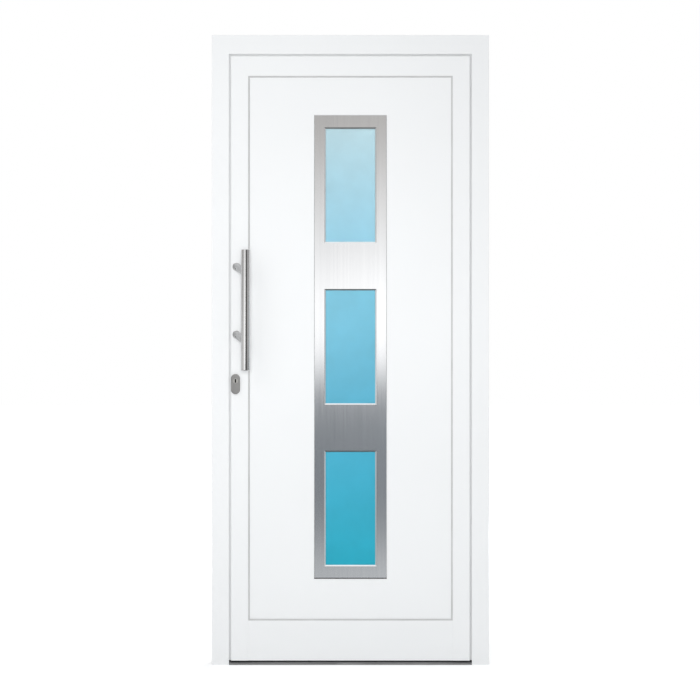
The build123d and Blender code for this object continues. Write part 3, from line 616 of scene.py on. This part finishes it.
PLAIN_ALUMINIUM = worked_metal(
    "plain_aluminium",
    light=(0.76, 0.77, 0.78),
    dark=(0.66, 0.67, 0.68),
    smooth=0.30,
    rough=0.42,
    stretch=(900.0, 900.0, 900.0),
    line_depth=0.00002,
)
dress(satin_glass(), "glass_outer_bottom", "glass_outer_middle", "glass_outer_top")
dress(clear_glass(), "glass_rear_panes")
dress(PLAIN_ALUMINIUM, "glass_spacers")

# Glazing beads inside
# Hollow aluminium beads, coated with the leaf, are snapped in round the panel after it is set.
# A wedge of grey rubber is pressed in between the beads and the inner sheet.
dress(WHITE_COAT, "bead_lock_side", "bead_hinge_side", "bead_top", "bead_bottom")

WEDGE_WIDTH = 0.0034
WEDGE_HEIGHT = 0.0026
WEDGE_STEPS = 9


def bead_wedge():
    """The rubber wedge: a quarter-oval profile (w cos a, h sin a) carried round the beads' rectangle."""
    left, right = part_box("bead_lock_side")[1].x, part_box("bead_hinge_side")[0].x
    bottom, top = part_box("bead_bottom")[1].z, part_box("bead_top")[0].z
    sheet_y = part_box("panel_inner_skin")[1].y
    quarter = np.linspace(0, math.pi / 2, WEDGE_STEPS)
    inset = np.concatenate([[0.0], WEDGE_WIDTH * np.cos(quarter)])
    rise = np.concatenate([[0.0], WEDGE_HEIGHT * np.sin(quarter)])
    side = np.array([-1, 1, 1, -1])[:, None]
    low_or_high = np.array([0, 0, 1, 1])[:, None]
    x = np.where(side > 0, right - inset, left + inset)
    z = np.where(low_or_high > 0, top - inset, bottom + inset)
    y = np.broadcast_to(sheet_y + rise, x.shape)
    points = np.stack([x, y, z], axis=-1)
    faces = ring_faces(4, len(inset), closed=True)
    new_piece("bead_wedge", points, faces, GREY_RUBBER, "leaf", "grey_rubber")


bead_wedge()

# Barrel hinges inside
# Three screwed barrel hinges, coated white: the leaf's two knuckles turn about the pin in the frame's one.
# Thin black bearing rings keep the knuckles apart, and each plate is held by three socket screws.
WHITE_HINGE = powder_coat(
    "white_hinge",
    light=(0.900, 0.910, 0.915),
    dark=(0.880, 0.890, 0.895),
    gloss=0.24,
    dull=0.32,
    peel_scale=1200.0,
    peel_depth=0.00004,
)
HINGES = ("lower", "middle", "upper")
HINGE_SCREW_RADIUS = 0.0036
HINGE_SCREW_SHARES = (0.14, 0.5, 0.86)
HINGE_SCREW_INSET = 0.011
HINGE_PLATE_THICKNESS = 0.005
BEARING_OUTER = 0.0094
BEARING_INNER = 0.0054
BEARING_HEIGHTS = ((0.0352, 0.0358), (0.0842, 0.0848))
BEARING_SIDES = 40
hinge_axis = frame["joints"][0]["pos_m"]


def bearing_ring(low, high):
    """Points and faces of a flat ring on the hinge's axis: a rectangle of (radius, height), turned round."""
    angle = np.arange(BEARING_SIDES) * 2 * math.pi / BEARING_SIDES
    radius = np.array([BEARING_INNER, BEARING_OUTER, BEARING_OUTER, BEARING_INNER])[:, None]
    height = np.array([low, low, high, high])[:, None]
    x = hinge_axis[0] + radius * np.cos(angle)
    y = hinge_axis[1] + radius * np.sin(angle)
    points = np.stack([x, y, np.broadcast_to(height, x.shape)], axis=-1)
    return points.reshape(-1, 3), ring_faces(4, BEARING_SIDES, closed=True)


def hinge_screws(name, node, outer_side, body):
    """Three screws in the outer edge of a hinge plate, on the face that looks into the room."""
    low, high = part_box(node)
    plate_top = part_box("hinge_jamb")[1].y + HINGE_PLATE_THICKNESS
    x = high.x - HINGE_SCREW_INSET if outer_side else low.x + HINGE_SCREW_INSET
    screw_column(name, node, x, plate_top, (0, 1, 0), HINGE_SCREW_RADIUS, HINGE_SCREW_SHARES, body)


for place in HINGES:
    on_frame, on_leaf = f"hinge_on_frame_{place}", f"hinge_on_leaf_{place}"
    dress(WHITE_HINGE, on_frame, on_leaf)
    hinge_screws(f"hinge_screws_on_frame_{place}", on_frame, True, "frame")
    hinge_screws(f"hinge_screws_on_leaf_{place}", on_leaf, False, "leaf")
    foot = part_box(on_leaf)[0].z
    rings = [bearing_ring(foot + low, foot + high) for low, high in BEARING_HEIGHTS]
    new_piece(f"hinge_bearings_{place}", *joined(rings), POLYAMIDE, "leaf", "polyamide")

# Pull bar
# A round stainless bar, ground satin round its girth, on two slanted supports that it is screwed to.
# Each support stands on a round foot on the lock stile and is locked by a small set screw in its flank.
BAR_STEEL = worked_metal(
    "bar_steel",
    light=(0.70, 0.70, 0.70),
    dark=(0.64, 0.64, 0.64),
    smooth=0.11,
    rough=0.15,
    stretch=(30.0, 30.0, 1600.0),
    line_depth=0.00001,
    anisotropy=0.6,
    turn=0.25,
)
SUPPORT_STEEL = worked_metal(
    "support_steel",
    light=(0.58, 0.58, 0.58),
    dark=(0.50, 0.50, 0.50),
    smooth=0.26,
    rough=0.36,
    stretch=(400.0, 400.0, 400.0),
    line_depth=0.00001,
)
BLACK_STEEL = worked_metal(
    "black_steel",
    light=(0.060, 0.060, 0.062),
    dark=(0.035, 0.035, 0.036),
    smooth=0.35,
    rough=0.50,
    stretch=(700.0, 700.0, 700.0),
    line_depth=0.00001,
)
dress(BAR_STEEL, "pull_bar")
dress(SUPPORT_STEEL, "pull_bar_supports")

SUPPORT_ROOT_X = -0.3795
SUPPORT_ROOT_HEIGHTS = (1.101, 1.327)
SUPPORT_RUN = np.array([0.0335, -0.062, -0.024])
SUPPORT_RADIUS = 0.012
SET_SCREW_ALONG = 0.0185
SET_SCREW_LOOKS = (-0.90, -0.42, -0.10)
SET_SCREW_RADIUS = 0.0024


def set_screws():
    """A socket set screw in the outer flank of each support, square to the support's own run."""
    along = SUPPORT_RUN / np.linalg.norm(SUPPORT_RUN)
    outward = np.array(SET_SCREW_LOOKS)
    outward -= along * (outward @ along)
    outward /= np.linalg.norm(outward)
    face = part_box("lock_stile")[0].y
    roots = [np.array([SUPPORT_ROOT_X, face, height]) for height in SUPPORT_ROOT_HEIGHTS]
    centres = [root + SET_SCREW_ALONG * along + SUPPORT_RADIUS * outward for root in roots]
    screws = [socket_screw(centre, outward, SET_SCREW_RADIUS) for centre in centres]
    new_piece("support_set_screws", *joined(screws), BLACK_STEEL, "leaf", "lock_steel")


set_screws()

# Lock and lever
# The outer rosette and the inner lever plate are stamped steel, brushed along their length.
# The nickel plated cylinder shows its plug in both; the lever is a mitred steel rod.
FITTING_STEEL = worked_metal(
    "fitting_steel",
    light=(0.410, 0.402, 0.392),
    dark=(0.340, 0.331, 0.322),
    smooth=0.30,
    rough=0.40,
    stretch=(900.0, 900.0, 12.0),
    line_depth=0.00001,
)
CYLINDER_STEEL = worked_metal(
    "cylinder_steel",
    light=(0.60, 0.585, 0.56),
    dark=(0.50, 0.485, 0.46),
    smooth=0.26,
    rough=0.38,
    stretch=(900.0, 900.0, 900.0),
    line_depth=0.00001,
)
dress(FITTING_STEEL, "lock_rosette", "lever_plate")
dress(BAR_STEEL, "lever_handle")

PLUG_CENTRE = (-0.383, 0.947)
KEYWAY_HALF_WIDTH = 0.0023
KEYWAY_HALF_HEIGHT = 0.0063
# Painted shade: the keyway inside the plug is coloured near black, where shade falls in the slot.
KEYWAY_PAINTED_SHADE = (0.008, 0.008, 0.008, 1.0)
KEYWAY_SKIN = 0.0003


def shade_keyway_painted():
    """Inside its keyway the cylinder is coloured near black: painted shade in the recess."""
    tree = CYLINDER_STEEL.node_tree
    low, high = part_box("lock_cylinder")
    x, z = PLUG_CENTRE
    mask = inside_box(
        tree,
        (x - KEYWAY_HALF_WIDTH, low.y + KEYWAY_SKIN, z - KEYWAY_HALF_HEIGHT),
        (x + KEYWAY_HALF_WIDTH, high.y - KEYWAY_SKIN, z + KEYWAY_HALF_HEIGHT),
    )
    tinted(tree, tree.nodes["Principled BSDF"], mask, KEYWAY_PAINTED_SHADE)


# Painted shade in the keyway.
shade_keyway_painted()
dress(CYLINDER_STEEL, "lock_cylinder")

# Floor
# A plain pale floor. Its own colour is a light grey white that keeps the door's soft shadow.
# Where it is seen, it is lifted to the white of the background, a little less close to the door than far off.
WHITE = (1.0, 1.0, 1.0, 1.0)
FLOOR_COLOUR = (0.86, 0.86, 0.86, 1.0)
FLOOR_HALF = 30.0
FLOOR_LIFT_NEAR = 0.36
FLOOR_LIFT_FAR = 0.57
FLOOR_NEAR = 0.6
FLOOR_FAR = 3.5


def seen_rays(tree):
    """A mask that is 1 for what the camera sees straight, in gloss or through glass."""
    path = add_node(tree, "ShaderNodeLightPath").outputs
    seen = path["Is Camera Ray"]
    for kind in ("Is Glossy Ray", "Is Transmission Ray"):
        seen = calculate(tree, "MAXIMUM", seen, path[kind])
    return seen


def new_sheet(name, points, faces, material):
    """A plain mesh object at the origin, for the stage round the door."""
    mesh = bpy.data.meshes.new(name)
    mesh.from_pydata(points, [], faces)
    mesh.materials.append(material)
    sheet = bpy.data.objects.new(name, mesh)
    bpy.context.scene.collection.objects.link(sheet)
    return sheet


def pale_floor():
    """A flat square of floor, at the height that the threshold stands on."""
    material, tree, shader = new_finish("pale_floor")
    shader.inputs["Base Color"].default_value = FLOOR_COLOUR
    shader.inputs["Roughness"].default_value = 0.9
    shader.inputs["Specular IOR Level"].default_value = 0.0
    shader.inputs["Emission Color"].default_value = WHITE
    position = object_position(tree)
    away = add_node(tree, "ShaderNodeVectorMath", {0: position}, operation="LENGTH").outputs["Value"]
    lift = map_range(tree, away, FLOOR_NEAR, FLOOR_FAR, FLOOR_LIFT_NEAR, FLOOR_LIFT_FAR)
    tree.links.new(calculate(tree, "MULTIPLY", seen_rays(tree), lift), shader.inputs["Emission Strength"])
    corners = np.array([[-1, -1, 0], [1, -1, 0], [1, 1, 0], [-1, 1, 0]]) * FLOOR_HALF
    floor = new_sheet("floor", corners.tolist(), [(0, 1, 2, 3)], material)


pale_floor()

# Paper sweep
# Shaded paper stands round the door, seen only in polished pieces and palest at the pull bar's height.
# A greyer panel at the right makes the bar's right side mid grey.
# Pale cards low down at both sides keep the strip bright when it is seen from there.
SWEEP_NEAR = 0.06
SWEEP_FOOT = (1.2, 0.012)
SWEEP_RADIUS = 3.0
SWEEP_START = 0.05
SWEEP_CURVE = 0.25
SWEEP_CURVE_STEPS = 8
SWEEP_HEIGHT = 3.4
SWEEP_LIFT = 0.004
SWEEP_SIDES = 96
SWEEP_GLOW = 2.0
SWEEP_LEAN = 0.1
LEAN_FROM = 0.5
HEIGHT_SPAN = (0.0, SWEEP_HEIGHT)
TURN_SPAN = (-90, 90)
SWEEP_TONES = (
    (0.0000, 0.060, 0.00),
    (0.0115, 0.090, 0.00),
    (0.0150, 0.460, 0.03),
    (0.0200, 0.660, 0.03),
    (0.0350, 0.860, 0.03),
    (0.0600, 0.650, 0.03),
    (0.1500, 0.420, 0.05),
    (0.3300, 0.315, 0.09),
    (0.5000, 0.325, 0.09),
    (0.6200, 0.330, 0.09),
    (0.8000, 0.340, 0.07),
    (0.8800, 0.480, 0.05),
    (0.9500, 1.260, 0.02),
    (1.0200, 1.740, 0.00),
    (1.0800, 1.760, 0.00),
    (1.3000, 1.690, 0.00),
    (1.4000, 1.560, 0.00),
    (1.5200, 1.340, 0.00),
    (1.8000, 1.050, -0.01),
    (2.1000, 0.690, -0.03),
    (2.4000, 0.570, -0.03),
    (3.4000, 1.260, 0.00),
)
STRIPE_TONES = (
    (-90, 0.30),
    (-85, 0.34),
    (-80, 0.64),
    (-73, 0.64),
    (-65, 0.34),
    (-44, 0.72),
    (-30, 0.86),
    (-3, 0.88),
    (3, 1.00),
    (12, 1.00),
    (20, 0.66),
    (32, 0.54),
    (50, 0.60),
    (76, 0.66),
    (90, 0.30),
)
PANEL_TONES = ((14, 1.00), (24, 0.50), (82, 0.54), (90, 1.00))
PANEL_HEIGHTS = ((0.78, 0.0), (0.92, 1.0), (1.62, 1.0), (1.76, 0.0))
CARD_TONE = 0.62
CARD_SIDES = ((-84, 0.0), (-72, 0.7), (-30, 0.7), (-20, 0.0), (20, 0.0), (30, 1.0), (76, 1.0), (86, 0.0))
CARD_HEIGHTS = ((0.0, 0.3), (0.0133, 1.0), (0.62, 1.0), (0.78, 0.0))


def bare_material(name):
    """A material with no shader yet, and no lamp for others: it, its tree and its output's surface."""
    material = bpy.data.materials.new(name)
    material.use_nodes = True
    material.cycles.emission_sampling = "NONE"
    tree = material.node_tree
    tree.nodes.clear()
    return material, tree, add_node(tree, "ShaderNodeOutputMaterial").inputs["Surface"]


def grey_ramp(tree, share, stops, span):
    """A ramp of greys over a share, from (place, tone) stops whose places lie in a span."""
    low, high = span
    return ramp(tree, share, [((place - low) / (high - low), (tone,) * 3) for place, tone in stops])


def show_in_gloss_only(sheet):
    """Hides a sheet from all but glossy rays."""
    for kind in ("camera", "diffuse", "transmission", "volume_scatter", "shadow"):
        setattr(sheet, f"visible_{kind}", False)


def shaded_paper():
    """Glowing paper: its tone and cool cast by height, times its tone by direction, repeated each half turn.

    Left of the door the paper hangs a little lower, so its pale band reaches further down there.
    """
    material, tree, surface = bare_material("shaded_paper")
    place = add_node(tree, "ShaderNodeSeparateXYZ", {"Vector": object_position(tree)}).outputs
    beyond = calculate(tree, "MINIMUM", calculate(tree, "ADD", place["X"], LEAN_FROM), 0.0)
    lean = calculate(tree, "MULTIPLY", beyond, -SWEEP_LEAN)
    height_share = map_range(tree, calculate(tree, "ADD", place["Z"], lean), *HEIGHT_SPAN)
    ahead = calculate(tree, "MULTIPLY", place["Y"], -1.0)
    turn = calculate(tree, "ARCTANGENT", calculate(tree, "DIVIDE", place["X"], ahead))
    turn_share = map_range(tree, turn, -math.pi / 2, math.pi / 2)

    stops = [
        (level / SWEEP_HEIGHT, tuple(tone / SWEEP_GLOW * (1 + cast * cool) for cast in (-1, 0, 1)))
        for level, tone, cool in SWEEP_TONES
    ]
    by_height = ramp(tree, height_share, stops)
    by_turn = grey_ramp(tree, turn_share, STRIPE_TONES, TURN_SPAN)
    paper = multiplied(tree, by_height, by_turn)

    panel = grey_ramp(tree, turn_share, PANEL_TONES, TURN_SPAN)
    at_panel = grey_ramp(tree, height_share, PANEL_HEIGHTS, HEIGHT_SPAN)
    panelled = mixed_colour(tree, at_panel, paper, multiplied(tree, paper, panel))

    at_sides = grey_ramp(tree, turn_share, CARD_SIDES, TURN_SPAN)
    at_foot = grey_ramp(tree, height_share, CARD_HEIGHTS, HEIGHT_SPAN)
    at_cards = calculate(tree, "MULTIPLY", at_sides, at_foot)
    pale = (CARD_TONE / SWEEP_GLOW,) * 3 + (1.0,)
    tone = mixed_colour(tree, at_cards, panelled, pale)

    glow = add_node(tree, "ShaderNodeEmission", {"Color": tone, "Strength": SWEEP_GLOW})
    tree.links.new(glow.outputs["Emission"], surface)
    return material


def paper_sweep():
    """The sweep: a floor ring, a quarter turn and an upright wall as one profile, turned about the door."""
    turn = np.linspace(-math.pi / 2, 0, SWEEP_CURVE_STEPS)
    reach = SWEEP_RADIUS - SWEEP_CURVE * (1 - np.cos(turn))
    rise = SWEEP_START + SWEEP_CURVE * (1 + np.sin(turn))
    curve = np.stack([reach, rise], axis=-1)
    profile = np.concatenate([[[SWEEP_NEAR, 0.0], SWEEP_FOOT], curve, [[SWEEP_RADIUS, SWEEP_HEIGHT]]])
    angle = np.arange(SWEEP_SIDES) * 2 * math.pi / SWEEP_SIDES
    x = profile[:, :1] * np.sin(angle)
    y = profile[:, :1] * np.cos(angle)
    points = np.stack([x, y, np.broadcast_to(profile[:, 1:] + SWEEP_LIFT, x.shape)], axis=-1)
    faces = ring_faces(len(profile), SWEEP_SIDES, closed=False)
    sweep = new_sheet("paper_sweep", points.reshape(-1, 3).tolist(), faces, shaded_paper())
    show_in_gloss_only(sweep)


paper_sweep()

# Dark flag
# A narrow dark flag hangs clear in front of the door, seen only as the dark line beside the bar's highlight.
# It leans a little, and its right edge is paler, so the line softens to the right.
# Only the bar is near enough to mirror it: the coat and the strip look through it.
FLAG_Y = -0.32
FLAG_REACH = 0.275
FLAG_FOOT = (-0.357, -0.190, 0.940)
FLAG_HEAD = (-0.335, -0.185, 1.420)
FLAG_TONES = ((-0.357, 0.02), (-0.266, 0.03), (-0.190, 0.34))


def dark_flag():
    """The flag: a four-cornered sheet whose tone follows X."""
    material, tree, surface = bare_material("dark_flag")
    x = add_node(tree, "ShaderNodeSeparateXYZ", {"Vector": object_position(tree)}).outputs["X"]
    span = (FLAG_TONES[0][0], FLAG_TONES[-1][0])
    tone = grey_ramp(tree, map_range(tree, x, *span), FLAG_TONES, span)
    glow = add_node(tree, "ShaderNodeEmission", {"Color": tone, "Strength": 1.0})
    length = add_node(tree, "ShaderNodeLightPath").outputs["Ray Length"]
    distant = calculate(tree, "GREATER_THAN", length, FLAG_REACH)
    clear = add_node(tree, "ShaderNodeBsdfTransparent")
    seen = add_node(tree, "ShaderNodeMixShader", {0: distant, 1: glow.outputs[0], 2: clear.outputs[0]})
    tree.links.new(seen.outputs[0], surface)
    (foot_left, foot_right, low), (head_left, head_right, high) = FLAG_FOOT, FLAG_HEAD
    corners = [
        (foot_left, FLAG_Y, low),
        (foot_right, FLAG_Y, low),
        (head_right, FLAG_Y, high),
        (head_left, FLAG_Y, high),
    ]
    flag = new_sheet("dark_flag", corners, [(0, 1, 2, 3)], material)
    show_in_gloss_only(flag)


dark_flag()

# Light and background
# A white room: an even sky, a soft lamp in front, a weak one at the left, and one for the inside.
# Camera, gloss and glass see plain white behind the door, and polished pieces see the sweep, not the lamps.
SKY_LEVEL = 0.55
SKY_COLOUR = (0.97, 0.985, 1.0, 1.0)


def white_room():
    """The world: a soft sky for the light, and plain white where it is seen."""
    world = bpy.data.worlds.new("white_room")
    world.use_nodes = True
    tree = world.node_tree
    tree.nodes.clear()
    sky = add_node(tree, "ShaderNodeBackground", {"Color": SKY_COLOUR, "Strength": SKY_LEVEL})
    white = add_node(tree, "ShaderNodeBackground", {"Color": WHITE, "Strength": 1.0})
    shown = {0: seen_rays(tree), 1: sky.outputs[0], 2: white.outputs[0]}
    mixed = add_node(tree, "ShaderNodeMixShader", shown)
    output = add_node(tree, "ShaderNodeOutputWorld")
    tree.links.new(mixed.outputs[0], output.inputs["Surface"])
    bpy.context.scene.world = world


def soft_lamp(name, place, target, size, watts):
    """A square lamp that looks at a target."""
    lamp = bpy.data.lights.new(name, "AREA")
    lamp.size = size
    lamp.energy = watts
    holder = bpy.data.objects.new(name, lamp)
    holder.location = place
    x, y, z = np.subtract(target, place)
    holder.rotation_euler = (math.atan2(math.hypot(x, y), -z), 0, math.atan2(-x, y))
    holder.visible_glossy = False
    holder.visible_camera = False
    bpy.context.scene.collection.objects.link(holder)


white_room()
soft_lamp("front_lamp", place=(-0.18, -3.0, 1.25), target=(-0.15, 0, 1.1), size=0.7, watts=37.5)
soft_lamp("left_lamp", place=(-1.6, -1.6, 2.2), target=(-0.3, 0, 1.4), size=1.2, watts=5.5)
soft_lamp("rear_lamp", place=(1.4, 5.0, 2.6), target=(0, 0, 1.0), size=2.4, watts=120.0)
bpy.context.scene.view_settings.view_transform = "Standard"

# Camera
# Level and square on, far off with a long lens, as in the photograph.
PHOTO_SIDE = 700
METRES_A_PIXEL = 0.0033338
DOOR_MIDDLE_PIXEL = 350.43
GROUND_PIXEL = 664.95
LENS = 100.0
SENSOR = 36.0


def photo_camera():
    """A camera whose frame, at the door's outer face, is the photograph's."""
    camera = bpy.data.cameras.new("camera")
    camera.lens = LENS
    camera.sensor_width = SENSOR
    holder = bpy.data.objects.new("camera", camera)
    away = PHOTO_SIDE * METRES_A_PIXEL * LENS / SENSOR
    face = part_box("head")[0].y
    middle = PHOTO_SIDE / 2
    holder.location = (
        (middle - DOOR_MIDDLE_PIXEL) * METRES_A_PIXEL,
        face - away,
        (GROUND_PIXEL - middle) * METRES_A_PIXEL,
    )
    holder.rotation_euler = (math.pi / 2, 0, 0)
    bpy.context.scene.collection.objects.link(holder)
    bpy.context.scene.camera = holder


photo_camera()
